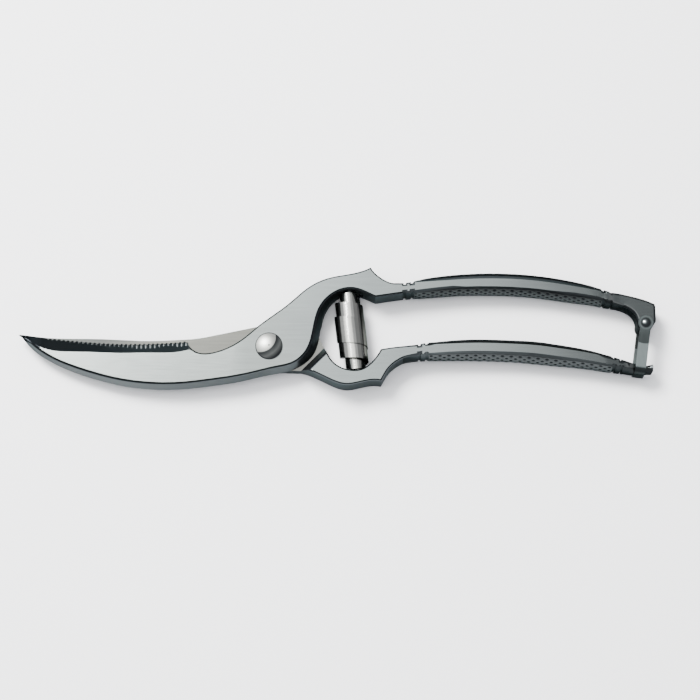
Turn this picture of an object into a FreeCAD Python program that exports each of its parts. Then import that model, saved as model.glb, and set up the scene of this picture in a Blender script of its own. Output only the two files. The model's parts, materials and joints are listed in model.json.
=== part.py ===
"""Poultry shears: two forged halves on a pivot screw, pushed apart by a volute spring,
held shut by a swinging strap on the handle ends.

The pivot axis is Z and the back face lies on z = 0. The tip points to -X and the handles to +X.
The front half is the lower blade and the upper handle, the rear half is the other two.
"""

import FreeCAD, Part
import os
import re

import Sketcher
from FreeCAD import Placement, Rotation, Vector

SIZES = [
    # forging
    ("blade_reach", 98.1, "pivot axis to the blade tip"),
    ("handle_reach", 150.7, "pivot axis to the far end of the upper handle"),
    ("forging_thickness", 12.0, "both halves together, and each handle"),
    ("lap_clearance", 0.05, "gap between the two lapped plates"),
    ("tip_thickness", 2.7, "one blade at its tip"),
    ("taper_start", 12.0, "pivot axis to where the blades begin to thin"),
    ("step_slope", 2.8, "how far the step beside a lapped plate leans back over its height"),
    # cutting edge
    ("tooth_pitch", 1.75, "serration pitch along the edge"),
    ("tooth_radius", 0.62, "radius of one serration groove"),
    ("tooth_depth", 0.36, "depth of a serration groove at the edge"),
    # grips
    ("check_relief", 0.35, "depth of the panel under the checkering"),
    ("groove_width", 0.9, "cross grooves at the ends of a grip"),
    ("groove_depth", 0.6, "depth of those grooves"),
    # pivot
    ("pivot_radius", 3.5, "shank of the pivot screw"),
    ("pivot_clearance", 0.05, "radial play of the shank in the rear half"),
    ("thread_radius", 3.0, "threaded end of the pivot screw"),
    ("screw_head_radius", 5.3, "domed head"),
    ("screw_head_rim", 0.4, "straight rim under the dome"),
    ("screw_head_rise", 1.9, "head above the front face"),
    ("nut_radius", 5.8, "round pivot nut"),
    ("nut_thickness", 2.0, "pivot nut"),
    ("spanner_hole_radius", 0.7, "two holes in the nut for a pin spanner"),
    ("washer_radius", 6.2, "washer under the nut"),
    ("washer_thickness", 0.4, "washer"),
    ("washer_play", 0.05, "radial play of the washer on the thread"),
    ("counterbore_play", 0.3, "radial play round the washer"),
    ("shoulder_play", 0.05, "end play of the washer in the counterbore"),
    # spring and its pegs
    ("spring_radius", 5.95, "widest turn, in the middle"),
    ("spring_turn_step", 0.65, "the next turn is this much narrower"),
    ("spring_wall", 1.35, "wall of the nested turns"),
    ("spring_play", 0.25, "gap between the last turn and its peg"),
    ("spring_end_gap", 1.5, "room for the curve of the arches"),
    ("peg_radius", 2.0, "spring pegs"),
    ("peg_depth", 3.0, "peg pressed into the handle"),
    ("peg_stand", 4.0, "peg standing inside the spring"),
    # latch
    ("strap_sheet", 1.1, "sheet of the latch strap"),
    ("strap_play", 0.1, "gap between the strap's legs and the handle ends"),
    ("strap_width", 4.1, "legs and bridge"),
    ("strap_eye_radius", 3.0, "round ends of the legs"),
    ("strap_reach", 19.3, "rivet axis to the inside of the bridge"),
    ("strap_bend", 3.4, "outer bend radius"),
    ("strap_lean", 8.2, "degrees that the closed strap leans towards the pivot"),
    ("knob_play", 0.17, "gap between the bridge and the knob"),
    ("boss_edge", 1.2, "rounded edges of the latch boss"),
    ("rivet_radius", 1.2, "latch rivet shank"),
    ("rivet_play", 0.05, "radial play of the strap on the rivet"),
    ("rivet_head_radius", 1.85, "round rivet head"),
    ("rivet_head_rise", 0.8, "rivet head above the strap"),
    ("rivet_sink", 0.5, "extra radius of the peened end, which lies flush"),
]

doc = FreeCAD.newDocument("poultry_shears")
sheet = doc.addObject("Spreadsheet::Sheet", "sizes")
for row, (alias, value, note) in enumerate(SIZES, start=1):
    sheet.set(f"A{row}", alias)
    sheet.set(f"B{row}", str(value))
    sheet.set(f"C{row}", note)
    sheet.setAlias(f"B{row}", alias)
doc.recompute()


def size(alias):
    return float(sheet.get(alias))


THICK = size("forging_thickness")
LAP = THICK / 2
HALF_GAP = size("lap_clearance") / 2
BLADE = size("blade_reach")
REACH = size("handle_reach")
NOMINAL_BLADE = 98.1
NOMINAL_REACH = 150.7
ROOT_X = 52.4
BEYOND = 3.0

# Rivet axis of the latch.
RIVET = Vector(REACH - 4.2, 9.4, 0)

# Seats of the spring in the two arches.
UPPER_SEAT = Vector(31.3, 23.0, LAP)
LOWER_SEAT = Vector(34.8, -9.1, LAP)
SPRING_WAY = (LOWER_SEAT - UPPER_SEAT).normalize()


def blade_x(x):
    """Place along the blade, drawn at its nominal length, on a blade of the wanted length."""
    return x * BLADE / NOMINAL_BLADE


def grip_x(x):
    """Place along a handle, which stretches only beyond its root."""
    stretch = (REACH - ROOT_X) / (NOMINAL_REACH - ROOT_X)
    return x if x <= ROOT_X else ROOT_X + (x - ROOT_X) * stretch


def flat(points, z=0.0):
    return [Vector(x, y, z) for x, y in points]


def curve(points):
    """One smooth edge through the points."""
    spline = Part.BSplineCurve()
    spline.interpolate(points)
    return spline.toShape()


def straight(*points):
    return [Part.LineSegment(a, b).toShape() for a, b in zip(points, points[1:])]


def plate(edges, low, high):
    """Solid between two heights, inside a closed outline drawn at z = 0."""
    face = Part.Face(Part.Wire(edges))
    face.translate(Vector(0, 0, low))
    return face.extrude(Vector(0, 0, high - low))


def block(points, low, high):
    """Plate with straight sides."""
    return plate(straight(*flat(points + points[:1])), low, high)


# ---------------------------------------------------------------- blades

# Stations of the front blade: x, cutting edge, head of the ground bevel, spine at the outer
# face, spine at the lapped face.
FRONT_BLADE = [
    (-100.5, 6.0, 7.4, 9.0, 8.4),
    (-96.5, 5.8, 4.6, 5.0, 4.3),
    (-92.4, 5.25, 2.0, 1.5, -0.2),
    (-86.6, 4.6, -0.6, -2.7, -4.3),
    (-76.8, 3.6, -1.7, -7.3, -9.0),
    (-66.9, 2.7, -2.0, -10.6, -12.3),
    (-57.8, 2.3, -2.4, -12.9, -14.6),
    (-46.9, 2.4, -2.3, -14.4, -16.0),
    (-34.5, 3.1, -2.0, -14.6, -16.1),
    (-21.4, 4.2, -1.6, -13.2, -14.6),
    (-11.3, 5.2, -1.2, -11.7, -13.0),
    (-3.5, 6.0, -0.8, -9.9, -11.1),
    (-1.0, 6.3, -0.7, -9.3, -10.6),
]

# Stations of the rear blade, which cuts with its lower edge: the same five columns.
REAR_BLADE = [
    (-100.5, 8.4, 9.0, 6.4, 6.4),
    (-96.5, 4.6, 5.2, 5.5, 5.6),
    (-92.4, 2.2, 4.4, 4.9, 5.1),
    (-86.6, -0.9, 2.8, 4.3, 4.6),
    (-76.8, -4.6, -0.6, 4.0, 4.3),
    (-66.9, -7.2, -3.0, 3.8, 4.2),
    (-57.8, -8.8, -4.5, 3.4, 3.8),
    (-46.9, -9.8, -5.4, 3.0, 3.4),
    (-34.5, -10.2, -5.7, 3.5, 3.9),
    (-21.4, -10.3, -6.2, 5.3, 5.7),
]

EDGE, BEVEL_HEAD, SPINE_OUTER, SPINE_INNER = 1, 2, 3, 4


def outer_height(x):
    """Height of the blade's outer face above the lap plane."""
    start = -size("taper_start")
    if x > start:
        return LAP
    share = (x - start) / (-BLADE - start)
    return LAP + (size("tip_thickness") - LAP) * share


def wall_cutter(stations, inner, outer, side, flip):
    """Everything beyond a sloped wall that runs along the blade.

    The wall passes through column `inner` at the lap plane and column `outer` at the outer face.
    `side` is +1 or -1 for the way it faces, and `flip` is -1 for the rear blade.
    """
    sections = []
    for station in stations:
        x = blade_x(station[0])
        slope = (station[outer] - station[inner]) / outer_height(x)
        near, far = -BEYOND / 2, LAP + BEYOND / 2
        low = station[inner] + slope * near
        high = station[inner] + slope * far
        away = side * 40.0
        corners = [(low, near), (high, far), (away, far), (away, near)]
        ring = [Vector(x, y, LAP + flip * h) for y, h in corners]
        sections.append(Part.makePolygon(ring + ring[:1]))
    return Part.makeLoft(sections, True, False)


def taper_cutter(flip):
    """Wedge that thins a blade from its outer face."""
    start, end = -size("taper_start"), -BLADE - BEYOND
    ring = [
        Vector(start, 40, LAP + flip * LAP),
        Vector(end, 40, LAP + flip * outer_height(end)),
        Vector(end, 40, LAP + flip * (LAP + BEYOND)),
        Vector(start, 40, LAP + flip * (LAP + BEYOND)),
    ]
    return Part.Face(Part.makePolygon(ring + ring[:1])).extrude(Vector(0, -80, 0))


def edge_curve(stations):
    points = [Vector(blade_x(s[0]), s[EDGE], LAP) for s in stations]
    return curve(points)


def serration_cutter():
    """Round grooves ground across the front blade's edge, from near the tip to the notch."""
    radius, depth = size("tooth_radius"), size("tooth_depth")
    first, last = blade_x(-88.0), blade_x(-32.4)
    grooves = []
    for point in edge_curve(FRONT_BLADE).discretize(Distance=size("tooth_pitch")):
        if not first < point.x < last:
            continue
        up_bevel = Vector(0.3, -4.6, 3.9).normalize()
        outward = Vector(0, 3.9, 4.6).normalize()
        way = up_bevel + outward * 0.16
        start = point + outward * (radius - depth) - way * 1.5
        grooves.append(Part.makeCylinder(radius, 5.0, start, way))
    return Part.makeCompound(grooves)


# ---------------------------------------------------------------- handles

# Stations of a grip: x, inner and outer edge of the flat face, bulge of the inner and outer
# side, half thickness as a share of the forging's.
UPPER_GRIP = [
    (48.7, 20.8, 25.3, 0.02, 0.02, 1.0),
    (53.0, 21.4, 25.3, 0.5, 0.7, 1.0),
    (58.5, 22.1, 25.7, 1.4, 2.1, 1.0),
    (65.0, 22.9, 26.1, 1.9, 3.0, 1.0),
    (75.3, 23.8, 26.8, 2.1, 3.4, 1.0),
    (84.2, 24.0, 27.1, 2.2, 3.5, 1.0),
    (93.1, 23.8, 27.0, 2.2, 3.5, 1.0),
    (105.0, 22.9, 26.1, 2.2, 3.5, 1.0),
    (114.2, 21.6, 24.8, 2.2, 3.4, 1.0),
    (124.1, 20.0, 23.1, 1.9, 2.9, 1.0),
    (131.5, 18.4, 21.5, 1.6, 2.0, 0.97),
    (138.5, 16.4, 19.9, 0.6, 1.0, 0.76),
]
LOWER_GRIP = [
    (52.4, 0.1, -4.5, 0.02, 0.02, 1.0),
    (56.2, 0.4, -3.6, 0.7, 0.9, 1.0),
    (61.0, 0.7, -2.8, 1.7, 1.8, 1.0),
    (68.6, 0.9, -2.3, 2.3, 2.3, 1.0),
    (81.9, 1.3, -1.9, 2.6, 2.8, 1.0),
    (93.1, 1.0, -2.2, 2.6, 2.9, 1.0),
    (105.0, 0.2, -3.0, 2.7, 3.1, 1.0),
    (114.2, -1.1, -4.3, 2.6, 2.7, 1.0),
    (124.1, -2.7, -5.7, 2.3, 2.3, 1.0),
    (131.5, -4.4, -7.1, 1.9, 2.0, 0.99),
    (137.5, -5.8, -8.1, 1.4, 1.7, 0.9),
    (141.4, -6.8, -8.3, 1.0, 2.1, 0.76),
    (149.0, -7.3, -8.4, 1.0, 2.1, 0.75),
]


def station_at(grip, x):
    """A grip's station at any place, between its neighbours."""
    for low, high in zip(grip, grip[1:]):
        if x <= high[0]:
            share = (x - low[0]) / (high[0] - low[0])
            return tuple(a + (b - a) * share for a, b in zip(low, high))
    return grip[-1]


def grip_section(station, inset, hollow):
    """Flat top and bottom with two bowed sides, across the handle.

    Both sides move inward by `inset`, and their bows are flatter by `hollow`.
    """
    x, inner, outer, inner_bow, outer_bow, share = station
    half = LAP * share
    facing = 1 if outer > inner else -1
    inner, outer = inner + facing * inset, outer - facing * inset

    def at(y, height):
        return Vector(grip_x(x), y, LAP + height)

    inner_crown = at(inner - facing * (inner_bow - hollow), 0)
    outer_crown = at(outer + facing * (outer_bow - hollow), 0)
    return Part.Wire(
        straight(at(inner, half), at(outer, half))
        + [Part.Arc(at(outer, half), outer_crown, at(outer, -half)).toShape()]
        + straight(at(outer, -half), at(inner, -half))
        + [Part.Arc(at(inner, -half), inner_crown, at(inner, half)).toShape()]
    )


def grip_length(grip, start, end, inset=0.0, hollow=0.0):
    """One length of a grip, between two places along it."""
    stations = [station_at(grip, start)]
    stations += [s for s in grip if start + 0.2 < s[0] < end - 0.2]
    stations.append(station_at(grip, end))
    sections = [grip_section(s, inset, hollow) for s in stations]
    return Part.makeLoft(sections, True, len(sections) == 2)


def grip_solid(grip, grooves):
    """Plain ends, two cross grooves at each end, and a hollowed panel under the checkering."""
    half_width = size("groove_width") / 2
    lengths = []
    start = grip[0][0]
    for number, groove in enumerate(grooves):
        hollow = size("check_relief") if number == 2 else 0.0
        low, high = groove - half_width, groove + half_width
        lengths.append(grip_length(grip, start, low, hollow=hollow))
        lengths.append(grip_length(grip, low, high, inset=size("groove_depth")))
        start = high
    lengths.append(grip_length(grip, start, grip[-1][0]))
    return lengths[0].fuse(lengths[1:])


# ---------------------------------------------------------------- front half

FRONT_NOTCH_AND_ARM = [
    (-32.0, 3.4), (-30.6, -0.3), (-28.4, -2.0), (-25.2, -2.7), (-20.8, -2.1),
    (-11.0, 2.5), (-4.0, 8.4), (7.5, 17.1), (15.3, 23.8), (22.8, 27.4),
    (33.9, 29.6), (39.5, 31.7),
]
FRONT_CREST = [(39.5, 31.7), (41.3, 29.3), (43.5, 27.5), (46.1, 26.0), (48.7, 25.3)]
# Lower contour of the plate and the arm, from the grip's root over the arch to the blade: at the
# front face, and at the lap plane, where the sloping wall ends.
FRONT_ARCH = [
    (41.3, 19.7), (37.9, 21.3), (31.7, 23.1), (25.4, 21.4), (20.0, 16.0), (17.2, 5.85),
    (14.6, -2.0), (9.5, -6.6), (4.8, -8.0), (-1.0, -9.3),
]
FRONT_ARCH_FOOT = [
    (41.3, 19.7), (37.9, 21.3), (31.7, 23.1), (26.2, 21.2), (22.0, 16.2), (19.6, 6.0),
    (16.9, -2.6), (11.0, -7.4), (5.2, -9.4), (-1.0, -10.6),
]
FRONT_STEP = [(9.3, 13.0), (20.3, 7.2)]
FRONT_GROOVES = (52.8, 55.7, 130.6, 133.5)
BOSS_OUTSIDE = [(131.5, 21.8), (135.0, 21.8), (139.0, 21.0), (146.4, 19.0), (150.4, 17.3)]
BOSS_INSIDE = [(143.2, 10.9), (142.3, 13.1), (140.4, 14.9), (136.4, 16.6), (131.5, 18.5)]


def contour(points):
    """The front half's lower contour, whose last point lies on the blade."""
    (x, y) = points[-1]
    return flat(points[:-1]) + [Vector(blade_x(x), y, 0)]


def front_outline():
    """Lower blade, pivot plate and upper arm, as far as the crest."""
    notch = flat([(blade_x(x), y) for x, y in FRONT_NOTCH_AND_ARM[:5]])
    notch += flat(FRONT_NOTCH_AND_ARM[5:])
    arch = contour(FRONT_ARCH_FOOT)
    below = [Vector(blade_x(x), y - 2.5, 0) for x, _, _, _, y in reversed(FRONT_BLADE)]
    spine = [arch[-1]] + below[:-2]
    tip = [Vector(blade_x(-100.0), 2.0, 0), Vector(blade_x(-100.0), 9.0, 0)]
    above = [Vector(notch[0].x, 9.0, 0), notch[0]]
    crest = flat(FRONT_CREST)
    root = [crest[-1], Vector(crest[-1].x, UPPER_GRIP[0][1], 0), arch[0]]
    return (
        [curve(notch), curve(crest)]
        + straight(*root)
        + [curve(arch)]
        + straight(*(spine + tip + above))
    )


def arch_cutter():
    """Space past the wall that slopes from the front half's foot contour to its face contour."""
    rings = []
    for rise in (-BEYOND / THICK, 1.0 + BEYOND / THICK):
        pairs = zip(contour(FRONT_ARCH_FOOT), contour(FRONT_ARCH))
        points = [foot + (face - foot) * rise for foot, face in pairs]
        start, end = points[0], points[-1]
        around = straight(end, Vector(end.x, -40, 0), Vector(60, -40, 0), Vector(60, start.y, 0), start)
        ring = Part.Wire([curve(points)] + around)
        ring.translate(Vector(0, 0, LAP + LAP * rise))
        rings.append(ring)
    return Part.makeLoft(rings, True, True)


def latch_boss():
    """Flat end of the upper handle, which carries the latch rivet."""
    slack = size("strap_sheet") + size("strap_play")
    shift = REACH - NOMINAL_REACH
    outside = flat([(x + shift, y) for x, y in BOSS_OUTSIDE])
    radius = size("strap_eye_radius")
    around = [
        RIVET + Vector(-radius, -0.3, 0),
        RIVET + Vector(0, -radius, 0),
        RIVET + Vector(radius * 0.87, -radius * 0.5, 0),
    ]
    inside = [around[0]] + flat([(x + shift, y) for x, y in BOSS_INSIDE])
    corner = Vector(REACH, RIVET.y + 1.0, 0)
    shoulder = Vector(REACH, outside[-1].y - 1.0, 0)
    edges = [curve(outside)] + straight(outside[-1], shoulder, corner, around[2])
    edges.append(Part.Arc(around[2], around[1], around[0]).toShape())
    edges += [curve(inside)] + straight(inside[-1], outside[0])
    solid = plate(edges, slack, THICK - slack)
    rims = [
        edge
        for edge in solid.Edges
        if abs(edge.CenterOfMass.z - LAP) > LAP - slack - 0.01
        and edge.CenterOfMass.x > outside[0].x + 0.5
        and edge.CenterOfMass.y > RIVET.y + 1
    ]
    return solid.makeFillet(size("boss_edge"), rims)


def lap_cutter(step, way):
    """Room for the other half's plate: all that lies left of the step, on one side of the lap.

    `way` is +1 for the space in front of the lap and -1 for the space behind it. The step leans
    back from the lap plane to the face.
    """
    (ax, ay), (bx, by) = step
    run = Vector(bx - ax, by - ay, 0).normalize()
    side = Vector(-run.y, run.x, 0)
    if side.x > 0:
        side = -side
    rings = []
    for rise in (0.0, 1.0 + BEYOND / LAP):
        z = LAP + way * (LAP * rise if rise else -HALF_GAP)
        foot = Vector(ax, ay, z) - side * size("step_slope") * rise
        ring = [foot - run * REACH, foot + run * REACH]
        ring += [ring[1] + side * 2 * REACH, ring[0] + side * 2 * REACH]
        rings.append(Part.makePolygon(ring + ring[:1]))
    return Part.makeLoft(rings, True, True)


def front_forging():
    solid = plate(front_outline(), 0, THICK)
    step = lap_cutter(FRONT_STEP, -1)
    spine = wall_cutter(FRONT_BLADE, SPINE_INNER, SPINE_OUTER, -1, 1)
    bevel = wall_cutter(FRONT_BLADE[:10], EDGE, BEVEL_HEAD, 1, 1)
    keep = block([(blade_x(-31.0), -50), (60, -50), (60, 50), (blade_x(-31.0), 50)], -5, 20)
    solid = solid.cut(step).cut(spine).cut(bevel.cut(keep)).cut(taper_cutter(1))
    solid = solid.cut(arch_cutter()).cut(serration_cutter())
    return solid.fuse([grip_solid(UPPER_GRIP, FRONT_GROOVES), latch_boss()])


# ---------------------------------------------------------------- rear half

REAR_SPINE = [(-21.4, 5.7), (-15.0, 7.0), (-1.6, 9.8), (6.0, 10.9), (12.0, 10.0), (19.1, 4.9)]
REAR_ARCH = [
    (19.1, 4.9), (21.6, -0.4), (25.0, -6.2), (28.3, -8.4), (32.1, -9.3), (35.7, -9.0),
    (39.2, -6.8), (43.4, -1.1),
]
REAR_ROOT = [(43.4, -1.1), (46.9, -0.5), (52.4, 0.1)]
REAR_CREST = [(52.4, -4.5), (49.5, -6.1), (46.9, -8.3), (45.0, -11.0), (43.5, -13.8)]
REAR_BELLY = [(43.5, -13.8), (38.0, -13.8), (29.5, -15.2), (24.0, -13.5), (18.5, -10.8), (12.4, -8.6)]
REAR_STEP = [(12.0, -8.9), (20.7, 0.0)]
REAR_GROOVES = (58.4, 61.1, 133.9, 136.6)


def rear_outline():
    spine = flat(REAR_SPINE)
    belly = flat(REAR_BELLY)
    root = curve(flat(REAR_ROOT))
    end = straight(Vector(*REAR_ROOT[-1], 0), Vector(*REAR_CREST[0], 0))
    below = [Vector(5.4, -8.4, 0), Vector(blade_x(-16.0), -9.6, 0)]
    below += [Vector(blade_x(s[0]), s[EDGE] - 2.5, 0) for s in reversed(REAR_BLADE[2:-1])]
    tip = [Vector(blade_x(-100.0), 0.0, 0), Vector(blade_x(-100.0), 9.0, 0)]
    above = [Vector(blade_x(-24.0), 8.0, 0), spine[0]]
    return (
        [curve(spine), curve(flat(REAR_ARCH)), root]
        + end
        + [curve(flat(REAR_CREST)), curve(belly)]
        + straight(*([belly[-1]] + below + tip + above))
    )


def rear_forging():
    solid = plate(rear_outline(), 0, THICK)
    step = lap_cutter(REAR_STEP, 1)
    spine = wall_cutter(REAR_BLADE, SPINE_INNER, SPINE_OUTER, 1, -1)
    edge = wall_cutter(REAR_BLADE, EDGE, BEVEL_HEAD, -1, -1)
    solid = solid.cut(step).cut(spine).cut(edge).cut(taper_cutter(-1))
    grip = grip_solid(LOWER_GRIP, REAR_GROOVES)
    knob_radius = size("strap_reach") - size("knob_play")
    sweep = Part.makeCylinder(knob_radius + 20, THICK + 2, RIVET - Vector(0, 0, 1))
    sweep = sweep.cut(Part.makeCylinder(knob_radius, THICK + 2, RIVET - Vector(0, 0, 1)))
    reach = REACH - 9.2
    beyond_neck = block([(reach, -40), (REACH + 20, -40), (REACH + 20, 0), (reach, 0)], -1, THICK + 1)
    return solid.fuse(grip.cut(sweep.common(beyond_neck)))


# ---------------------------------------------------------------- small pieces


def bind(item, **formulas):
    """Tie properties of an object to formulas in the sheet's names."""
    for name, formula in formulas.items():
        formula = re.sub(r"[a-z]+(_[a-z]+)+", r"sizes.\g<0>", str(formula))
        item.setExpression(name.replace("__", "."), formula)
    return item


def turned(kind, name, low="0", **formulas):
    """A Part::Cylinder or Part::Cone that stands on Z from the height `low`."""
    item = doc.addObject(kind, name)
    return bind(item, Placement__Base__z=low, **formulas)


def cylinder(name, radius, height, low="0"):
    return turned("Part::Cylinder", name, low, Radius=radius, Height=height)


def cone(name, radius_low, radius_high, height, low="0"):
    return turned("Part::Cone", name, low, Radius1=radius_low, Radius2=radius_high, Height=height)


def dome(name, radius, rise, low):
    """Cap of a sphere: as wide as the radius at its foot and as high as the rise."""
    ball_radius = f"(({radius})^2 + ({rise})^2) / (2 * ({rise}))"
    ball = doc.addObject("Part::Sphere", f"{name}_ball")
    bind(ball, Radius=ball_radius, Placement__Base__z=f"{low} + {rise} - {ball_radius}")
    rim = cylinder(f"{name}_rim", radius, rise, low)
    cap = doc.addObject("Part::Common", name)
    cap.Base, cap.Tool = ball, rim
    return cap


def joined(name, items, label=None):
    item = doc.addObject("Part::MultiFuse", name)
    item.Shapes = items
    item.Label = label or name
    return item


def cut(name, base, tools, label=None):
    item = doc.addObject("Part::Cut", name)
    item.Base = base
    item.Tool = tools[0] if len(tools) == 1 else joined(f"{name}_tools", tools)
    item.Label = label or name
    return item


def moved(item, place, turn=None):
    """Put an object that is drawn about the origin where it belongs."""
    item.setExpression("Placement.Base.z", None)
    item.Placement = Placement(place, turn or Rotation())
    return item


def pivot_screw():
    shank_low = "nut_thickness + washer_thickness"
    head_low = "forging_thickness"
    dome_low = "forging_thickness + screw_head_rim"
    return joined(
        "screw",
        [
            cylinder("screw_thread", "thread_radius", shank_low),
            cylinder("screw_shank", "pivot_radius", f"forging_thickness - ({shank_low})", shank_low),
            cylinder("screw_rim", "screw_head_radius", "screw_head_rim", head_low),
            dome("screw_dome", "screw_head_radius", "(screw_head_rise - screw_head_rim)", dome_low),
        ],
        "pivot_screw",
    )


def pivot_nut():
    """Round nut, with two blind holes for a pin spanner in its outer face."""
    holes = [cylinder("nut_bore", "thread_radius", "nut_thickness")]
    for number, sign in enumerate((1, -1)):
        hole = cylinder(f"spanner_hole_{number}", "spanner_hole_radius", "nut_thickness / 2")
        bind(hole, Placement__Base__x=f"{sign} * (thread_radius + nut_radius) / 2")
        holes.append(hole)
    return cut("nut", cylinder("nut_disc", "nut_radius", "nut_thickness"), holes, "pivot_nut")


def pivot_washer():
    disc = cylinder("washer_disc", "washer_radius", "washer_thickness", "nut_thickness")
    bore = "thread_radius + washer_play"
    hole = cylinder("washer_bore", bore, "washer_thickness", "nut_thickness")
    return cut("washer", disc, [hole], "pivot_washer")


def volute_spring():
    """The double volute as its nested turns: stepped rings, widest in the middle."""
    length = (LOWER_SEAT - UPPER_SEAT).Length - 2 * size("spring_end_gap")
    wall, radius = size("spring_wall"), size("spring_radius")
    last = size("peg_radius") + size("spring_play") + wall
    lip = wall / 2
    rings = [(last, 0.0), (radius - size("spring_turn_step"), 0.11), (radius, 0.30)]
    outside, inside = [], []
    for (ring, start), (_, end) in zip(rings, rings[1:] + [(0.0, 0.5)]):
        shift_start = lip if start else 0.0
        shift_end = lip if end < 0.5 else 0.0
        outside += [(ring, start * length), (ring, end * length)]
        inside += [(ring - wall, start * length + shift_start), (ring - wall, end * length + shift_end)]
    points = [Vector(r, 0, z) for r, z in outside + inside[::-1]]
    face = Part.Face(Part.makePolygon(points + points[:1]))
    top = face.revolve(Vector(0, 0, 0), Vector(0, 0, 1), 360)
    bottom = top.mirror(Vector(0, 0, length / 2), Vector(0, 0, 1))
    item = doc.addObject("Part::Feature", "spring")
    item.Shape = top.fuse(bottom).removeSplitter()
    item.Label = "volute_spring"
    start = UPPER_SEAT + SPRING_WAY * size("spring_end_gap")
    return moved(item, start, Rotation(Vector(0, 0, 1), SPRING_WAY))


def spring_peg(name, label, seat, way):
    """Stud pressed into an arch, with a chamfered nose inside the spring."""
    nose = "peg_radius / 4"
    shank_height = f"peg_depth + peg_stand - {nose}"
    shank = cylinder(f"{name}_shank", "peg_radius", shank_height)
    tip = cone(f"{name}_nose", "peg_radius", f"peg_radius - {nose}", nose, shank_height)
    peg = joined(name, [shank, tip], label)
    return moved(peg, seat - way * size("peg_depth"), Rotation(Vector(0, 0, 1), way))


def latch_strap():
    """Sheet bent to a U, with a round eye at each end, hung on the latch rivet."""
    body = doc.addObject("PartDesign::Body", "strap_body")
    sketch = body.newObject("Sketcher::SketchObject", "strap_side")
    plane = [f for f in body.Origin.OriginFeatures if f.Role == "YZ_Plane"][0]
    sketch.AttachmentSupport = (plane, [""])
    sketch.MapMode = "FlatFace"
    far, near = "-(strap_reach + strap_sheet)", "-strap_reach"
    low, high = "0", "forging_thickness"
    inside_low, inside_high = "strap_sheet", "forging_thickness - strap_sheet"
    corners = [
        ("0", low), (far, low), (far, high), ("0", high),
        ("0", inside_high), (near, inside_high), (near, inside_low), ("0", inside_low),
    ]
    draw_outline(sketch, corners)
    pad = body.newObject("PartDesign::Pad", "strap_pad")
    pad.Profile = sketch
    pad.Midplane = True
    bind(pad, Length="strap_width")
    doc.recompute()
    last = pad
    bends = ((far, "strap_bend"), (near, "strap_bend - strap_sheet"))
    for number, (place, radius) in enumerate(bends):
        fillet = body.newObject("PartDesign::Fillet", f"strap_bend_{number}")
        fillet.Base = (last, edges_across(last.Shape, value_of(place)))
        bind(fillet, Radius=radius)
        doc.recompute()
        last = fillet
    body.Tip = last
    eyes = [
        cylinder("strap_eye_back", "strap_eye_radius", "strap_sheet"),
        cylinder("strap_eye_front", "strap_eye_radius", "strap_sheet", inside_high),
    ]
    hole = cylinder("strap_hole", "rivet_radius + rivet_play", "forging_thickness")
    sink = peened_end("strap_sink", "rivet_play")
    strap = cut("strap", joined("strap_blank", [body] + eyes), [hole, sink], "latch_strap")
    return moved(strap, RIVET, Rotation(Vector(0, 0, 1), -size("strap_lean")))


def value_of(formula):
    """What a formula in the sheet's names comes to."""
    probe = doc.addObject("Part::Vertex", "probe")
    bind(probe, X=formula)
    doc.recompute()
    value = probe.X.Value
    doc.removeObject(probe.Name)
    return value


def draw_outline(sketch, corners):
    """Closed outline of straight lines, each corner tied to two formulas."""
    spots = [Vector(value_of(a), value_of(b), 0) for a, b in corners]
    for start, end in zip(spots, spots[1:] + spots[:1]):
        sketch.addGeometry(Part.LineSegment(start, end))
    count = len(corners)
    for index, formulas in enumerate(corners):
        before = (index - 1) % count
        sketch.addConstraint(Sketcher.Constraint("Coincident", before, 2, index, 1))
        spot = (spots[index].x, spots[index].y)
        for kind, value, formula in zip(("DistanceX", "DistanceY"), spot, formulas):
            number = sketch.addConstraint(Sketcher.Constraint(kind, -1, 1, index, 1, value))
            bind(sketch, **{f"Constraints[{number}]": formula})


def edges_across(shape, y):
    """Names of the edges that run along X at one place on Y."""
    names = []
    for number, edge in enumerate(shape.Edges, start=1):
        box = edge.BoundBox
        if box.XLength > 1 and box.YLength < 0.01 and box.ZLength < 0.01 and abs(box.YMin - y) < 0.01:
            names.append(f"Edge{number}")
    return names


def peened_end(name, play="0"):
    """Cone of the rivet's back end, which fills a countersink in the strap."""
    wide = f"rivet_radius + rivet_sink + {play}"
    return cone(name, wide, f"rivet_radius + {play}", "strap_sheet / 2")


def latch_rivet():
    rivet = joined(
        "rivet",
        [
            cylinder("rivet_shank", "rivet_radius", "forging_thickness"),
            peened_end("rivet_peened_end"),
            dome("rivet_head", "rivet_head_radius", "rivet_head_rise", "forging_thickness"),
        ],
        "latch_rivet",
    )
    return moved(rivet, RIVET)


# ---------------------------------------------------------------- halves with their holes


def peg_hole(name, seat, way):
    hole = cylinder(name, "peg_radius", "2 * peg_depth")
    turn = Rotation(Vector(0, 0, 1), way)
    return moved(hole, seat - way * size("peg_depth"), turn)


def front_half():
    forging = doc.addObject("Part::Feature", "front_forging")
    forging.Shape = front_forging()
    holes = [
        cylinder("front_pivot_hole", "pivot_radius", "forging_thickness"),
        peg_hole("upper_peg_hole", UPPER_SEAT, SPRING_WAY),
        moved(cylinder("boss_rivet_hole", "rivet_radius", "forging_thickness"), RIVET),
    ]
    return cut("front", forging, holes, "front_half")


def rear_half():
    forging = doc.addObject("Part::Feature", "rear_forging")
    forging.Shape = rear_forging()
    depth = "nut_thickness + washer_thickness + shoulder_play"
    holes = [
        cylinder("rear_pivot_hole", "pivot_radius + pivot_clearance", "forging_thickness"),
        cylinder("rear_counterbore", "washer_radius + counterbore_play", depth),
        peg_hole("lower_peg_hole", LOWER_SEAT, -SPRING_WAY),
    ]
    return cut("rear", forging, holes, "rear_half")


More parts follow.
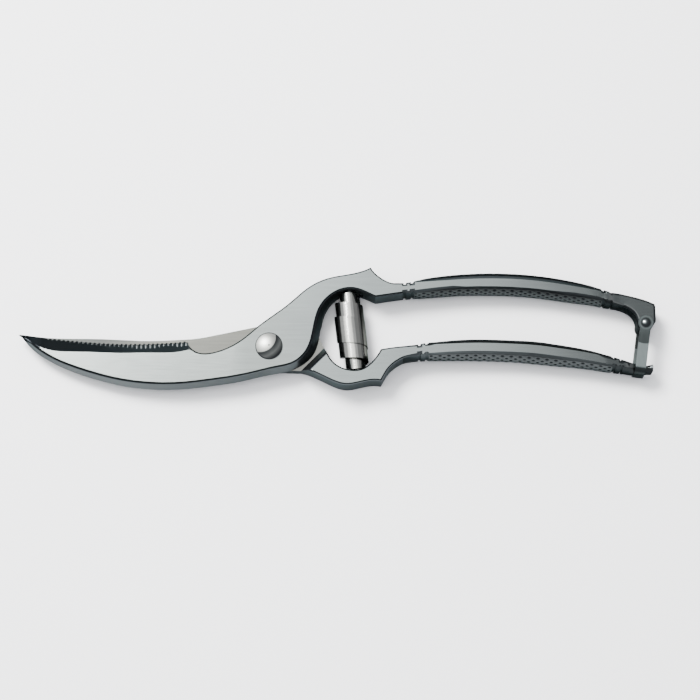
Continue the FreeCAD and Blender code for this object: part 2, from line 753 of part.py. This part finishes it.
def main():
    nodes = [
        rear_half(),
        front_half(),
        pivot_screw(),
        pivot_nut(),
        pivot_washer(),
        volute_spring(),
        spring_peg("upper_peg", "upper_spring_peg", UPPER_SEAT, SPRING_WAY),
        spring_peg("lower_peg", "lower_spring_peg", LOWER_SEAT, -SPRING_WAY),
        latch_strap(),
        latch_rivet(),
    ]
    doc.recompute()
    for item in doc.Objects:
        if "Invalid" in item.State or "Error" in item.State:
            raise RuntimeError(f"{item.Name} failed: {item.State}")
    for node in nodes:
        shape = node.Shape
        if shape.isNull() or not shape.isValid() or len(shape.Solids) != 1:
            raise RuntimeError(f"{node.Label} is not one sound solid")
    os.makedirs("parts", exist_ok=True)
    for node in nodes:
        node.Shape.exportStep(f"parts/{node.Label}.step")
        box = node.Shape.BoundBox
        print(f"{node.Label}: {box.XLength:.1f} x {box.YLength:.1f} x {box.ZLength:.1f} mm")


main()
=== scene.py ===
"""Looks of the poultry shears: ground and polished flats, dark rounded sides, checkered grips,
a wound volute spring, a domed pivot screw and a bent latch strap, on a pale studio floor.

Shapes are in metres, drawn as multiples of MM. Places in the masks of the materials are numbers
of millimetres in the shears' own frame: X along them, with the pivot at zero.
"""

import json
import math

import bmesh
import bpy
from mathutils import Matrix, Vector
from mathutils.bvhtree import BVHTree

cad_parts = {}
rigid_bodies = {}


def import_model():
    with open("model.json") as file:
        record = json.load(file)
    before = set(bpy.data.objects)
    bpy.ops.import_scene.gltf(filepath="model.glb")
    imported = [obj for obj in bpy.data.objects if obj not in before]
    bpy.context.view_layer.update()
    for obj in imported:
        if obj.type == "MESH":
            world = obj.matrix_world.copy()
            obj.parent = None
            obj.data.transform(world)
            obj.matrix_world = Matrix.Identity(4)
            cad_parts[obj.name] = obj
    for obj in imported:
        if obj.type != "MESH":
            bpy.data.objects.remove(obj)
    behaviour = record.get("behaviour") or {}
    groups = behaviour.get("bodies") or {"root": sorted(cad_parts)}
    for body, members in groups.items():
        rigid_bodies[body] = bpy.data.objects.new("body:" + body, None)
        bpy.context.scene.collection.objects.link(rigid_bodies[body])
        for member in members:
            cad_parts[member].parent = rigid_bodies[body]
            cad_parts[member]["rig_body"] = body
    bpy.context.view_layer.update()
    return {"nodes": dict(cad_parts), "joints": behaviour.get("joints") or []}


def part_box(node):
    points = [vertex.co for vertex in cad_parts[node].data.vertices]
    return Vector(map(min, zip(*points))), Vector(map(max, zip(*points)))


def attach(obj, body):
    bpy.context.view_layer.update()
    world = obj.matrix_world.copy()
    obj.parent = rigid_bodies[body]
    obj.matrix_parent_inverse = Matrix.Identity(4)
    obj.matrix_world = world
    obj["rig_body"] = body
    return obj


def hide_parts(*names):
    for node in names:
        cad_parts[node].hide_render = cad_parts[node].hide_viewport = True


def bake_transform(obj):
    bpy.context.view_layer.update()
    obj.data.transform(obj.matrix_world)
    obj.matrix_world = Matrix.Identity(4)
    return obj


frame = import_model()

MM = 0.001
NODES = frame["nodes"]
JOINTS = {joint["name"]: joint for joint in frame["joints"]}

front_low, front_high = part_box("front_half")
THICK = front_high.z
LAP = THICK / 2
RIVET = Vector(JOINTS["strap_swing"]["pos_m"])

# Cleaning and rounding of the CAD meshes.
FINE_WELD = 0.002 * MM
FORGING_WELD = 0.004 * MM
FLAT_DEGREES = 0.6
CRISP_DEGREES = 24
OUTLINE_ROUND = 0.62 * MM
OUTLINE_SEGMENTS = 2
LAP_CLEARANCE = 0.3 * MM
WALL_TILT = 0.45
FACE_TILT = 0.985

# Places where the finish of the forgings changes, for the masks.
LAP_LEVEL = LAP / MM
TIP_X = front_low.x / MM
HANDLE_END_X = front_high.x / MM
NOTCH_X = TIP_X + 66
FIRST_TOOTH_X = TIP_X + 12
GROUND_TIP_X = TIP_X + 8.6
GROUND_TIP_SLOPE, GROUND_TIP_LINE = 0.606, -54.6
LAP_FADE_X, LAP_FADE_LENGTH = -40.0, 26.0
DARK_LAP_X = -68
GRIP_X = 52
EDGE_TURN_X, EDGE_TURN = 45.0, 0.0033

# The checkered panels: body, and where along the handle each panel starts and ends.
PANELS = {
    "front_half": ("front", 56.5 * MM, 129.8 * MM),
    "rear_half": ("rear", 61.9 * MM, 133.1 * MM),
}
LONG_PITCH, CROSS_PITCH = 3.46 * MM, 2.84 * MM
BOW_RADIUS = 8.0 * MM
PANEL_HALF_ARC = 5.3 * MM
PANEL_RELIEF, NET_RISE, SKIRT = 0.35 * MM, 0.04 * MM, 0.12 * MM
NET_LINE = 0.33 * MM
PIT_LEVEL = 0.3
SPARE_CELLS = 6
WHOLE_DIAMOND = 0.25
NET_CRISP_DEGREES = 60
SIDE_START = {1: front_high.y + 10 * MM, -1: front_low.y - 10 * MM}

# The spring strip, wound both ways from the middle. Radii, bands and advances that go with a
# number of turns are numbers of millimetres. END_TURNS sets a share along the strip, which is
# dropped again.
TURNS = 2.7
SHEET = 0.55 * MM
SPRING_RADIUS, SPRING_CLOSING = 5.92, 0.05
FIRST_STEP, SECOND_STEP = (0.55, 0.55, 1.0), (1.75, 1.45, 1.95)
HALF_BAND, BAND_TAPER = 5.3, 0.9
ADVANCE, ADVANCE_LOSS, LAST_TURN_LOSS, LAST_TURNS = 6.9, 0.75, 1.0, 2.0
HALF_LENGTH = 15.3 * MM
BOW_TO_BLADES = 1.3 * MM
WINDING_START_DEGREES = 75
END_TURNS = 0.7
SPRING_CRISP_DEGREES = 40


# ---------------------------------------------------------------- meshes


def piece(bm, name, body, material, replaced=()):
    """Turn a bmesh into a named piece that rides on a body."""
    mesh = bpy.data.meshes.new(name)
    bm.to_mesh(mesh)
    bm.free()
    obj = bpy.data.objects.new(name, mesh)
    bpy.context.scene.collection.objects.link(obj)
    obj.data.materials.append(material)
    if body:
        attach(obj, body)
    if replaced:
        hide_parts(*replaced)
    return obj


def shade(bm, crisp_degrees):
    """Smooth faces, with edges over the angle kept crisp."""
    for face in bm.faces:
        face.smooth = True
    for edge in bm.edges:
        if len(edge.link_faces) == 2:
            edge.smooth = edge.calc_face_angle(0.0) < math.radians(crisp_degrees)


def cleaned(node_name, weld):
    """A CAD node's mesh, with its facets joined."""
    bm = bmesh.new()
    bm.from_mesh(NODES[node_name].data)
    bmesh.ops.remove_doubles(bm, verts=bm.verts, dist=weld)
    bmesh.ops.dissolve_degenerate(bm, edges=bm.edges, dist=weld)
    return bm


def dressed(node_name, name, material):
    """A cleaned copy of a CAD node, with smooth curves and crisp edges."""
    bm = cleaned(node_name, FINE_WELD)
    shade(bm, CRISP_DEGREES)
    piece(bm, name, NODES[node_name]["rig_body"], material, (node_name,))


def mark_outline(bm):
    """Give full edge weight to the edges between the outer faces and the upright walls.

    The edges of the lap faces stay sharp.
    """
    weight = bm.edges.layers.float.new("bevel_weight_edge")
    for edge in bm.edges:
        at_lap = any(abs(vert.co.z - LAP) < LAP_CLEARANCE for vert in edge.verts)
        if at_lap or len(edge.link_faces) != 2:
            continue
        steep, level = sorted(abs(face.normal.z) for face in edge.link_faces)
        if steep < WALL_TILT and level > FACE_TILT:
            edge[weight] = 1.0


def soften_edges(obj):
    """Ground-over edges: a narrow round on every weighted edge."""
    bevel = obj.modifiers.new("ground_edges", "BEVEL")
    bevel.width = OUTLINE_ROUND
    bevel.segments = OUTLINE_SEGMENTS
    bevel.limit_method = "WEIGHT"
    bevel.use_clamp_overlap = False
    bevel.miter_outer = "MITER_ARC"
    weighted = obj.modifiers.new("flat_faces", "WEIGHTED_NORMAL")
    weighted.keep_sharp = True
    weighted.weight = 100


def forging(node_name, name, material):
    """A forged half, with its flats joined into whole faces before the edges are rounded."""
    bm = cleaned(node_name, FORGING_WELD)
    flat = math.radians(FLAT_DEGREES)
    bmesh.ops.dissolve_limit(bm, angle_limit=flat, verts=bm.verts, edges=bm.edges)
    mark_outline(bm)
    shade(bm, CRISP_DEGREES)
    body = NODES[node_name]["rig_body"]
    soften_edges(piece(bm, name, body, material, (node_name,)))


# ---------------------------------------------------------------- materials

MIX_FACTOR, MIX_A, MIX_B = 0, 6, 7


def new_material(name):
    material = bpy.data.materials.new(name)
    material.use_nodes = True
    tree = material.node_tree
    return material, tree, tree.nodes["Principled BSDF"]


def feed(tree, socket, value):
    """Link a socket to another one, or set it to a plain value."""
    if isinstance(value, bpy.types.NodeSocket):
        tree.links.new(value, socket)
    else:
        socket.default_value = value


def node(tree, kind, **inputs):
    """New node, with sockets set by name and properties set in lower case."""
    item = tree.nodes.new(kind)
    for key, value in inputs.items():
        socket = item.inputs.get(key.replace("_", " "))
        if socket is None:
            setattr(item, key, value)
        else:
            feed(tree, socket, value)
    return item


def maths(tree, operation, a, b=None):
    item = tree.nodes.new("ShaderNodeMath")
    item.operation = operation
    for socket, value in zip(item.inputs, (a, b)):
        if value is not None:
            feed(tree, socket, value)
    return item.outputs[0]


def ramp(tree, factor, stops):
    """Colours along a factor; each stop is a place and a colour."""
    item = tree.nodes.new("ShaderNodeValToRGB")
    tree.links.new(factor, item.inputs[0])
    elements = item.color_ramp.elements
    while len(elements) < len(stops):
        elements.new(0.5)
    for element, (place, colour) in zip(elements, stops):
        element.position = place
        element.color = (*colour, 1.0)
    return item.outputs[0]


def grey(value):
    return (value, value, value)


def mix(tree, mode, factor, a, b):
    item = tree.nodes.new("ShaderNodeMix")
    item.data_type = "RGBA"
    item.blend_type = mode
    for number, value in ((MIX_FACTOR, factor), (MIX_A, a), (MIX_B, b)):
        feed(tree, item.inputs[number], value)
    return item.outputs[2]


def distance_from(tree, place, centre):
    """Distance from an axis along Z through the centre, in millimetres."""
    flat = node(tree, "ShaderNodeMapping", Vector=place, Location=(-centre[0], -centre[1], 0))
    flat = node(tree, "ShaderNodeVectorMath", operation="MULTIPLY", Vector=flat.outputs[0])
    flat.inputs[1].default_value = (1 / MM, 1 / MM, 0)
    length = node(tree, "ShaderNodeVectorMath", operation="LENGTH")
    tree.links.new(flat.outputs[0], length.inputs[0])
    return length.outputs["Value"]


class Steel:
    """A polished or ground steel whose colour is painted reflection and shade, by where each
    face looks.

    `facing` is a list of (how much the face looks along `way`, colour) and `rough` the same for
    roughness. `grain` stretches the grinding lines along X, Y and Z, `depth` is how deep they
    are, and `brightness` scales every colour of `facing`.
    """

    EDGE_REFLECTION = (0.3, 0.32, 0.32, 1)
    CLOUD_SCALE = 38.0
    WORN_ROUGHNESS = 0.08
    GRAIN_STRENGTH = 0.25

    def __init__(self, name, facing, rough, grain, depth, way=(0, 0, 1), brightness=0.5):
        facing = [(at, tuple(part * brightness for part in colour)) for at, colour in facing]
        self.material, self.tree, self.shader = new_material(name)
        tree, inputs = self.tree, self.shader.inputs
        coordinates = node(tree, "ShaderNodeTexCoord")
        self.place = coordinates.outputs["Object"]
        self.normal = node(tree, "ShaderNodeSeparateXYZ", Vector=coordinates.outputs["Normal"])
        dot = node(tree, "ShaderNodeVectorMath", operation="DOT_PRODUCT")
        tree.links.new(coordinates.outputs["Normal"], dot.inputs[0])
        dot.inputs[1].default_value = Vector(way).normalized()
        self.level = maths(tree, "ABSOLUTE", dot.outputs["Value"])
        self.colour = ramp(tree, self.level, facing)
        stretched = node(tree, "ShaderNodeMapping", Vector=self.place, Scale=grain).outputs[0]
        lines = node(tree, "ShaderNodeTexNoise", Vector=stretched, Scale=1.0, Detail=3.0)
        cloud = node(
            tree, "ShaderNodeTexNoise", Vector=self.place, Scale=self.CLOUD_SCALE, Detail=4.0
        )
        lines, cloud = lines.outputs["Fac"], cloud.outputs["Fac"]
        streaks = ramp(tree, lines, [(0.3, grey(0.92)), (0.7, grey(1.0))])
        patches = ramp(tree, cloud, [(0.35, grey(0.93)), (0.65, grey(1.0))])
        self.tone = mix(tree, "MULTIPLY", 1.0, streaks, patches)
        worn = maths(tree, "MULTIPLY", lines, self.WORN_ROUGHNESS)
        roughness = maths(tree, "ADD", ramp(tree, self.level, rough), worn)
        tree.links.new(roughness, inputs["Roughness"])
        bump = node(
            tree, "ShaderNodeBump", Height=lines, Strength=self.GRAIN_STRENGTH, Distance=depth
        )
        tree.links.new(bump.outputs[0], inputs["Normal"])
        inputs["Metallic"].default_value = 1.0
        inputs["Specular Tint"].default_value = self.EDGE_REFLECTION

    def paint(self, where, colour):
        """Another colour where a mask says so."""
        self.colour = mix(self.tree, "MIX", where, self.colour, (*colour, 1.0))
        return self

    def tint(self, factor, stops):
        """Multiply the colour by a ramp."""
        shades = ramp(self.tree, factor, stops)
        self.colour = mix(self.tree, "MULTIPLY", 1.0, self.colour, shades)
        return self

    def done(self):
        final = mix(self.tree, "MULTIPLY", 1.0, self.colour, self.tone)
        self.tree.links.new(final, self.shader.inputs["Base Color"])
        return self.material

    def axis(self, letter):
        """One object coordinate, in millimetres."""
        split = node(self.tree, "ShaderNodeSeparateXYZ", Vector=self.place)
        return self.work("DIVIDE", split.outputs[letter], MM)

    def work(self, operation, a, b):
        return maths(self.tree, operation, a, b)

    def all_of(self, *masks):
        both = masks[0]
        for mask in masks[1:]:
            both = self.work("MULTIPLY", both, mask)
        return both

    def over(self, value, limit):
        return self.work("GREATER_THAN", value, limit)

    def under(self, value, limit):
        return self.work("LESS_THAN", value, limit)


def forged_steel():
    """Painted reflection: light polished flats, dark rounded edges and bevels, a glint line
    between them, grey walls; satin lap faces.
    """
    steel = Steel(
        "forged_steel",
        [(0.0, (0.175, 0.195, 0.205)), (0.60, (0.165, 0.182, 0.19)),
         (0.68, (0.05, 0.057, 0.061)), (0.78, (0.022, 0.026, 0.029)),
         (0.955, (0.028, 0.033, 0.035)), (0.98, (0.45, 0.47, 0.46)),
         (0.99, (0.28, 0.31, 0.305)), (1.0, (0.28, 0.31, 0.305))],
        [(0.0, grey(0.36)), (0.8, grey(0.30)), (0.97, grey(0.20))],
        (60.0, 2600.0, 2600.0), 0.00002,
    )
    x, y, z = (steel.axis(letter) for letter in "XYZ")
    normal_x, normal_y, normal_z = (steel.normal.outputs[letter] for letter in "XYZ")
    # The satin of the lap faces, and the same satin in painted shade.
    satin, satin_painted_shade = (0.092, 0.094, 0.086), (0.042, 0.045, 0.044)

    # The lap faces and the flats below them are satin, with painted shade darker towards the
    # tip.
    lap_face = steel.all_of(steel.under(z, LAP_LEVEL + 0.2), steel.over(normal_z, 0.97))
    steel.paint(lap_face, satin)
    fading = steel.work("DIVIDE", steel.work("SUBTRACT", LAP_FADE_X, x), LAP_FADE_LENGTH)
    fading = steel.work("MINIMUM", steel.work("MAXIMUM", fading, 0.0), 1.0)
    steel.paint(steel.all_of(lap_face, fading), satin_painted_shade)

    # Painted shade on the rounded sides of the grips.
    grip = steel.all_of(steel.over(x, GRIP_X), steel.under(steel.level, 0.95))
    steel.paint(grip, (0.05, 0.056, 0.058))

    # Painted shade on whatever looks up below the lap at the tip end.
    below_lap = steel.all_of(steel.under(x, DARK_LAP_X), steel.under(z, LAP_LEVEL + 0.3))
    steel.paint(steel.all_of(below_lap, steel.over(normal_z, 0.1)), satin_painted_shade)

    # Painted dark reflection on the front blade's tip, where the ground bevel runs out.
    across_tip = steel.work("ADD", y, steel.work("MULTIPLY", x, GROUND_TIP_SLOPE))
    tip = steel.all_of(steel.over(across_tip, GROUND_TIP_LINE), steel.under(x, GROUND_TIP_X))
    steel.paint(steel.all_of(tip, steel.over(z, LAP_LEVEL + 0.05)), (0.014, 0.016, 0.018))

    # Painted shade, darker towards the handle ends.
    along = steel.work("DIVIDE", x, HANDLE_END_X)
    steel.tint(along, [
        (0.0, (1.0, 0.99, 0.965)), (0.12, grey(1.0)), (0.30, grey(0.93)), (0.62, grey(0.76)),
        (0.95, grey(0.42)),
    ])

    # Painted highlight on the flank of each serration groove that faces the light. The edge
    # turns along the blade, so the limit for a flank turns with it.
    on_edge = steel.all_of(steel.over(z, LAP_LEVEL + 0.3), steel.under(x, NOTCH_X))
    turning = steel.work("MULTIPLY", steel.work("ADD", x, EDGE_TURN_X), EDGE_TURN)
    leaning = steel.work("ADD", normal_x, turning)
    flank = steel.all_of(steel.over(leaning, 0.10), steel.over(x, FIRST_TOOTH_X))
    steep = steel.all_of(steel.under(steel.level, 0.93), steel.over(normal_y, 0.1))
    steel.paint(steel.all_of(on_edge, flank, steep), (0.4, 0.43, 0.43))
    return steel.done()


def domed_steel():
    """Polished screw head, in painted reflection: bright, dark on its far side; painted shade at
    a centre dot and a dark rim.
    """
    steel = Steel(
        "polished_screw_steel",
        [(0.0, (0.02, 0.022, 0.023)), (0.60, (0.02, 0.022, 0.023)),
         (0.72, (0.10, 0.105, 0.10)), (0.80, (0.035, 0.038, 0.038)),
         (0.835, (0.02, 0.022, 0.022)), (0.85, (0.27, 0.275, 0.255)),
         (1.0, (0.29, 0.295, 0.275))],
        [(0.0, grey(0.36)), (1.0, grey(0.36))],
        (300.0, 300.0, 300.0), 0.000004, way=(-0.30, 0.30, 0.90), brightness=1.0,
    )
    radius = distance_from(steel.tree, steel.place, (0, 0))
    # Painted shade: the dark centre dot.
    steel.paint(steel.under(radius, 0.35), (0.07, 0.075, 0.07))
    head_low, head_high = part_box("pivot_screw")
    head_radius = (head_high.x - head_low.x) / 2 / MM
    # Painted shade: the dark rim round the head.
    return steel.paint(steel.over(radius, head_radius * 0.94), (0.03, 0.033, 0.035)).done()


def rivet_steel():
    """Polished round head, in painted reflection: a small painted highlight in a dark ring."""
    return Steel(
        "polished_rivet_steel",
        [(0.0, (0.03, 0.034, 0.036)), (0.80, (0.05, 0.056, 0.058)),
         (0.93, (0.12, 0.135, 0.135)), (0.975, (0.36, 0.40, 0.39)), (1.0, (0.42, 0.45, 0.44))],
        [(0.0, grey(0.14)), (1.0, grey(0.12))],
        (300.0, 300.0, 300.0), 0.000004, way=(-0.25, 0.15, 0.95),
    ).done()


def turned_steel():
    # Painted reflection: faces that look up are lighter than the sides.
    return Steel(
        "turned_steel",
        [(0.0, (0.12, 0.125, 0.13)), (0.8, (0.10, 0.105, 0.11)), (1.0, (0.36, 0.37, 0.36))],
        [(0.0, grey(0.3)), (1.0, grey(0.25))],
        (900.0, 900.0, 900.0), 0.00001,
    ).done()


def nickel_strip():
    """Bright plated strip, in painted reflection: a light and a mid facet along the front, dark
    towards both sides.
    """
    return Steel(
        "bright_nickel_strip",
        [(0.0, (0.22, 0.22, 0.20)), (0.45, (0.19, 0.192, 0.178)), (0.70, (0.17, 0.17, 0.16)),
         (0.725, (0.27, 0.27, 0.25)), (0.87, (0.29, 0.29, 0.27)), (0.895, (0.56, 0.56, 0.52)),
         (1.0, (0.60, 0.60, 0.555))],
        [(0.0, grey(0.16)), (1.0, grey(0.14))],
        (500.0, 500.0, 500.0), 0.000006, way=(-0.20, 0.0, 0.98),
    ).done()


def strap_steel():
    """Satin sheet, in painted reflection: a dark band below the boss and a highlight ring round
    the eye.
    """
    steel = Steel(
        "strap_sheet_steel",
        [(0.0, (0.07, 0.08, 0.08)), (0.7, (0.035, 0.042, 0.043)), (0.93, (0.05, 0.058, 0.058)),
         (0.98, (0.25, 0.29, 0.285)), (1.0, (0.25, 0.29, 0.285))],
        [(0.0, grey(0.34)), (1.0, grey(0.26))],
        (900.0, 120.0, 900.0), 0.00001,
    )
    ramp_length = 20.0
    away = steel.work("DIVIDE", distance_from(steel.tree, steel.place, RIVET), ramp_length)
    # Painted by the distance from the rivet: a highlight ring round the eye, then a dark band,
    # then the plain sheet.
    return steel.tint(away, [
        (0.0, grey(0.35)), (0.10, grey(0.30)), (0.12, grey(0.62)), (0.145, grey(0.38)),
        (0.25, grey(0.30)), (0.415, grey(0.27)), (0.425, grey(1.0)), (0.82, grey(1.0)),
        (0.90, grey(0.95)), (1.0, grey(0.95)),
    ]).done()


def net_steel():
    """The raised net, in painted reflection, with painted shade on the sides that look to +Y."""
    steel = Steel(
        "checkering_net",
        [(0.0, (0.19, 0.207, 0.21)), (0.45, (0.15, 0.163, 0.166)), (0.8, (0.045, 0.05, 0.053)),
         (1.0, (0.06, 0.066, 0.068))],
        [(0.0, grey(0.36)), (1.0, grey(0.34))],
        (400.0, 400.0, 400.0), 0.00001, brightness=0.4,
    )
    normal_y = steel.normal.outputs["Y"]
    return steel.tint(normal_y, [(0.0, grey(1.0)), (0.15, grey(0.4)), (1.0, grey(0.28))]).done()


def pit_steel():
    # Painted shade in the sunk pits of the checkering.
    return Steel(
        "checkering_pits",
        [(0.0, (0.022, 0.025, 0.027)), (1.0, (0.015, 0.017, 0.019))],
        [(0.0, grey(0.5)), (1.0, grey(0.5))],
        (400.0, 400.0, 400.0), 0.00001,
    ).done()


# ---------------------------------------------------------------- stage


def make_floor():
    half_size, gap = 6.0, 0.2 * MM
    bm = bmesh.new()
    bmesh.ops.create_grid(bm, x_segments=1, y_segments=1, size=half_size)
    bmesh.ops.translate(bm, verts=bm.verts, vec=(0, 0, -gap))
    material, _, shader = new_material("studio_paper")
    shader.inputs["Base Color"].default_value = (*grey(0.82), 1)
    shader.inputs["Roughness"].default_value = 0.9
    shader.inputs["Specular IOR Level"].default_value = 0.1
    mesh = bpy.data.meshes.new("floor")
    bm.to_mesh(mesh)
    bm.free()
    floor = bpy.data.objects.new("floor", mesh)
    bpy.context.scene.collection.objects.link(floor)
    floor.data.materials.append(material)


def area_light(name, place, aim, width, height, power):
    data = bpy.data.lights.new(name, "AREA")
    data.shape = "RECTANGLE"
    data.size, data.size_y = width, height
    data.energy = power
    obj = bpy.data.objects.new(name, data)
    obj.location = place
    obj.rotation_euler = (Vector(aim) - Vector(place)).to_track_quat("-Z", "Y").to_euler()
    bpy.context.scene.collection.objects.link(obj)


def make_light():
    """A wide softbox overhead that ends short of the handle ends, and a key at upper left."""
    area_light("overhead", (-0.42, 0.26, 1.0), (-0.42, 0.26, 0), 1.24, 0.9, 12.0)
    area_light("key", (-0.45, 0.55, 1.0), (0, 0, 0), 0.45, 0.45, 54.0)
    world = bpy.data.worlds.new("studio")
    bpy.context.scene.world = world
    world.use_nodes = True
    background = world.node_tree.nodes["Background"]
    background.inputs["Color"].default_value = (0.93, 0.95, 1.0, 1)
    background.inputs["Strength"].default_value = 1.45


def make_camera():
    """Looks down on the flat shears, leaning a little towards the lower handle."""
    tilt, distance, view_width = math.radians(13.0), 0.800, 0.2713
    aim = Vector((0.0314, -0.0016, THICK))
    data = bpy.data.cameras.new("camera")
    data.sensor_width = 36.0
    data.lens = data.sensor_width * distance / view_width
    data.clip_start = 0.01
    camera = bpy.data.objects.new("camera", data)
    camera.location = aim + Vector((0, -math.sin(tilt), math.cos(tilt))) * distance
    camera.rotation_euler = (tilt, 0, 0)
    bpy.context.scene.collection.objects.link(camera)
    bpy.context.scene.camera = camera


# ---------------------------------------------------------------- checkering


def flat_net(start, end):
    """A flat sheet of diamonds along X, cut to the panel: base at Z 0, net at 1, pits lower."""
    cells = int((end - start) / LONG_PITCH) + SPARE_CELLS
    bm = bmesh.new()
    turn = Matrix.Rotation(math.radians(45), 4, "Z")
    bmesh.ops.create_grid(bm, x_segments=cells, y_segments=cells, size=cells / 2, matrix=turn)
    diagonal = math.sqrt(2)
    scale = (LONG_PITCH / diagonal, CROSS_PITCH / diagonal, 1)
    bmesh.ops.scale(bm, verts=bm.verts, vec=scale)
    bmesh.ops.translate(bm, verts=bm.verts, vec=((start + end) / 2, 0, 0))
    for spot, way in (
        ((start, 0, 0), (-1, 0, 0)), ((end, 0, 0), (1, 0, 0)),
        ((0, -PANEL_HALF_ARC, 0), (0, -1, 0)), ((0, PANEL_HALF_ARC, 0), (0, 1, 0)),
    ):
        whole = bm.verts[:] + bm.edges[:] + bm.faces[:]
        bmesh.ops.bisect_plane(bm, geom=whole, plane_co=spot, plane_no=way, clear_outer=True)
    made = bmesh.ops.extrude_face_region(bm, geom=bm.faces[:], use_keep_orig=True)["geom"]
    for item in made:
        if isinstance(item, bmesh.types.BMVert):
            item.co.z = 1.0
    least = WHOLE_DIAMOND * LONG_PITCH * CROSS_PITCH
    raised = [item for item in made if isinstance(item, bmesh.types.BMFace)]
    pits = [face for face in raised if face.calc_area() > least]
    bmesh.ops.inset_individual(bm, faces=pits, thickness=NET_LINE)
    for face in pits:
        face.material_index = 1
        for vert in face.verts:
            vert.co.z = PIT_LEVEL
    return bm


def make_checkering(node_name, body, side, start, end):
    """Raised net of diamonds round one bowed side of a grip, with a sunk pit in each diamond.

    `side` is +1 for the side that looks to +Y. The net is drawn flat, with X along the handle
    and Y round the side, and then wrapped on the hollowed panel, which it fills.
    """
    bm = flat_net(start, end)
    solid = bmesh.new()
    solid.from_mesh(NODES[node_name].data)
    panel = BVHTree.FromBMesh(solid)
    solid.free()
    for vert in bm.verts:
        angle = vert.co.y / BOW_RADIUS
        drop = BOW_RADIUS * math.sin(angle)
        outside = Vector((vert.co.x, SIDE_START[side], LAP + drop))
        spot = panel.ray_cast(outside, Vector((0, -side, 0)))[0]
        proud = PANEL_RELIEF * (1 - (drop / LAP) ** 2) + NET_RISE
        rise = proud * vert.co.z if vert.co.z > 0 else -SKIRT
        vert.co = spot + Vector((0, side * math.cos(angle), math.sin(angle))) * rise
    bmesh.ops.recalc_face_normals(bm, faces=bm.faces)
    shade(bm, NET_CRISP_DEGREES)
    name = f"{node_name}_checkering_{'top' if side > 0 else 'bottom'}"
    net = piece(bm, name, body, NET)
    net.data.materials.append(PITS)
    smooth = net.modifiers.new("rounded_net", "SUBSURF")
    smooth.levels = smooth.render_levels = 1


# ---------------------------------------------------------------- volute spring


def smooth_step(value, start, end):
    share = min(1.0, max(0.0, (value - start) / (end - start)))
    return share * share * (3 - 2 * share)


def spring_radius(away):
    """Outer radius of the strip, at a number of turns from the middle."""
    first_drop, first_from, first_to = FIRST_STEP
    second_drop, second_from, second_to = SECOND_STEP
    first = first_drop * smooth_step(away, first_from, first_to)
    second = second_drop * smooth_step(away, second_from, second_to)
    narrower = first + second
    return (SPRING_RADIUS - narrower - SPRING_CLOSING * away) * MM


def make_spring():
    """One strip wound into a double volute: widest in the middle, both ends wound inward.

    Each point's share of the opening is worked out along the strip and then dropped; the strip
    rides on no body.
    """
    upper_low, upper_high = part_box("upper_spring_peg")
    lower_low, lower_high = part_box("lower_spring_peg")
    upper, lower = (upper_low + upper_high) / 2, (lower_low + lower_high) / 2
    axis = (lower - upper).normalized()
    low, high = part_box("volute_spring")
    middle = (low + high) / 2
    across = Vector((0, 0, 1))
    side = axis.cross(across)

    bm = bmesh.new()
    bmesh.ops.create_grid(bm, x_segments=320, y_segments=4, size=1.0)
    share = bm.verts.layers.float.new("_share")
    for vert in bm.verts:
        turn = vert.co.x * TURNS
        away = abs(turn)
        radius = spring_radius(away) - SHEET
        half_band = (HALF_BAND - BAND_TAPER * away / TURNS) * MM
        reach = ADVANCE * away - ADVANCE_LOSS * away ** 2
        reach -= LAST_TURN_LOSS * smooth_step(away, LAST_TURNS, TURNS)
        shift = math.copysign(reach, turn) * MM
        edge = vert.co.y * half_band
        if away > TURNS - 1 and edge * turn > 0:
            edge = math.copysign(min(abs(edge), HALF_LENGTH - abs(shift)), edge)
        angle = 2 * math.pi * turn + math.radians(WINDING_START_DEGREES)
        spoke = side * math.cos(angle) + across * math.sin(angle)
        vert[share] = 0.5 - 0.5 * math.copysign(min(1.0, away / (TURNS - END_TURNS)), turn)
        bow = Vector((-BOW_TO_BLADES * (1 - (shift / HALF_LENGTH) ** 2), 0, 0))
        vert.co = middle + axis * (shift + edge) + bow + spoke * radius
    bmesh.ops.recalc_face_normals(bm, faces=bm.faces)
    bmesh.ops.solidify(bm, geom=bm.faces, thickness=SHEET)
    bmesh.ops.recalc_face_normals(bm, faces=bm.faces)
    shade(bm, SPRING_CRISP_DEGREES)
    spring = piece(bm, "volute_spring_strip", None, NICKEL)
    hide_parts("volute_spring")
    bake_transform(spring)
    spring.data.attributes.remove(spring.data.attributes["_share"])


# ---------------------------------------------------------------- making everything

make_camera()
make_floor()
make_light()
FORGED, DOMED, RIVETED, TURNED = forged_steel(), domed_steel(), rivet_steel(), turned_steel()
NICKEL, STRAP, NET, PITS = nickel_strip(), strap_steel(), net_steel(), pit_steel()
forging("front_half", "front_forging", FORGED)
forging("rear_half", "rear_forging", FORGED)
dressed("pivot_screw", "domed_pivot_screw", DOMED)
dressed("latch_rivet", "round_latch_rivet", RIVETED)
dressed("pivot_nut", "spanner_nut", TURNED)
dressed("pivot_washer", "nut_washer", TURNED)
dressed("upper_spring_peg", "upper_stud", TURNED)
dressed("lower_spring_peg", "lower_stud", TURNED)
dressed("latch_strap", "bent_latch_strap", STRAP)
for panel_node, (panel_body, panel_start, panel_end) in PANELS.items():
    for panel_side in (1, -1):
        make_checkering(panel_node, panel_body, panel_side, panel_start, panel_end)
make_spring()
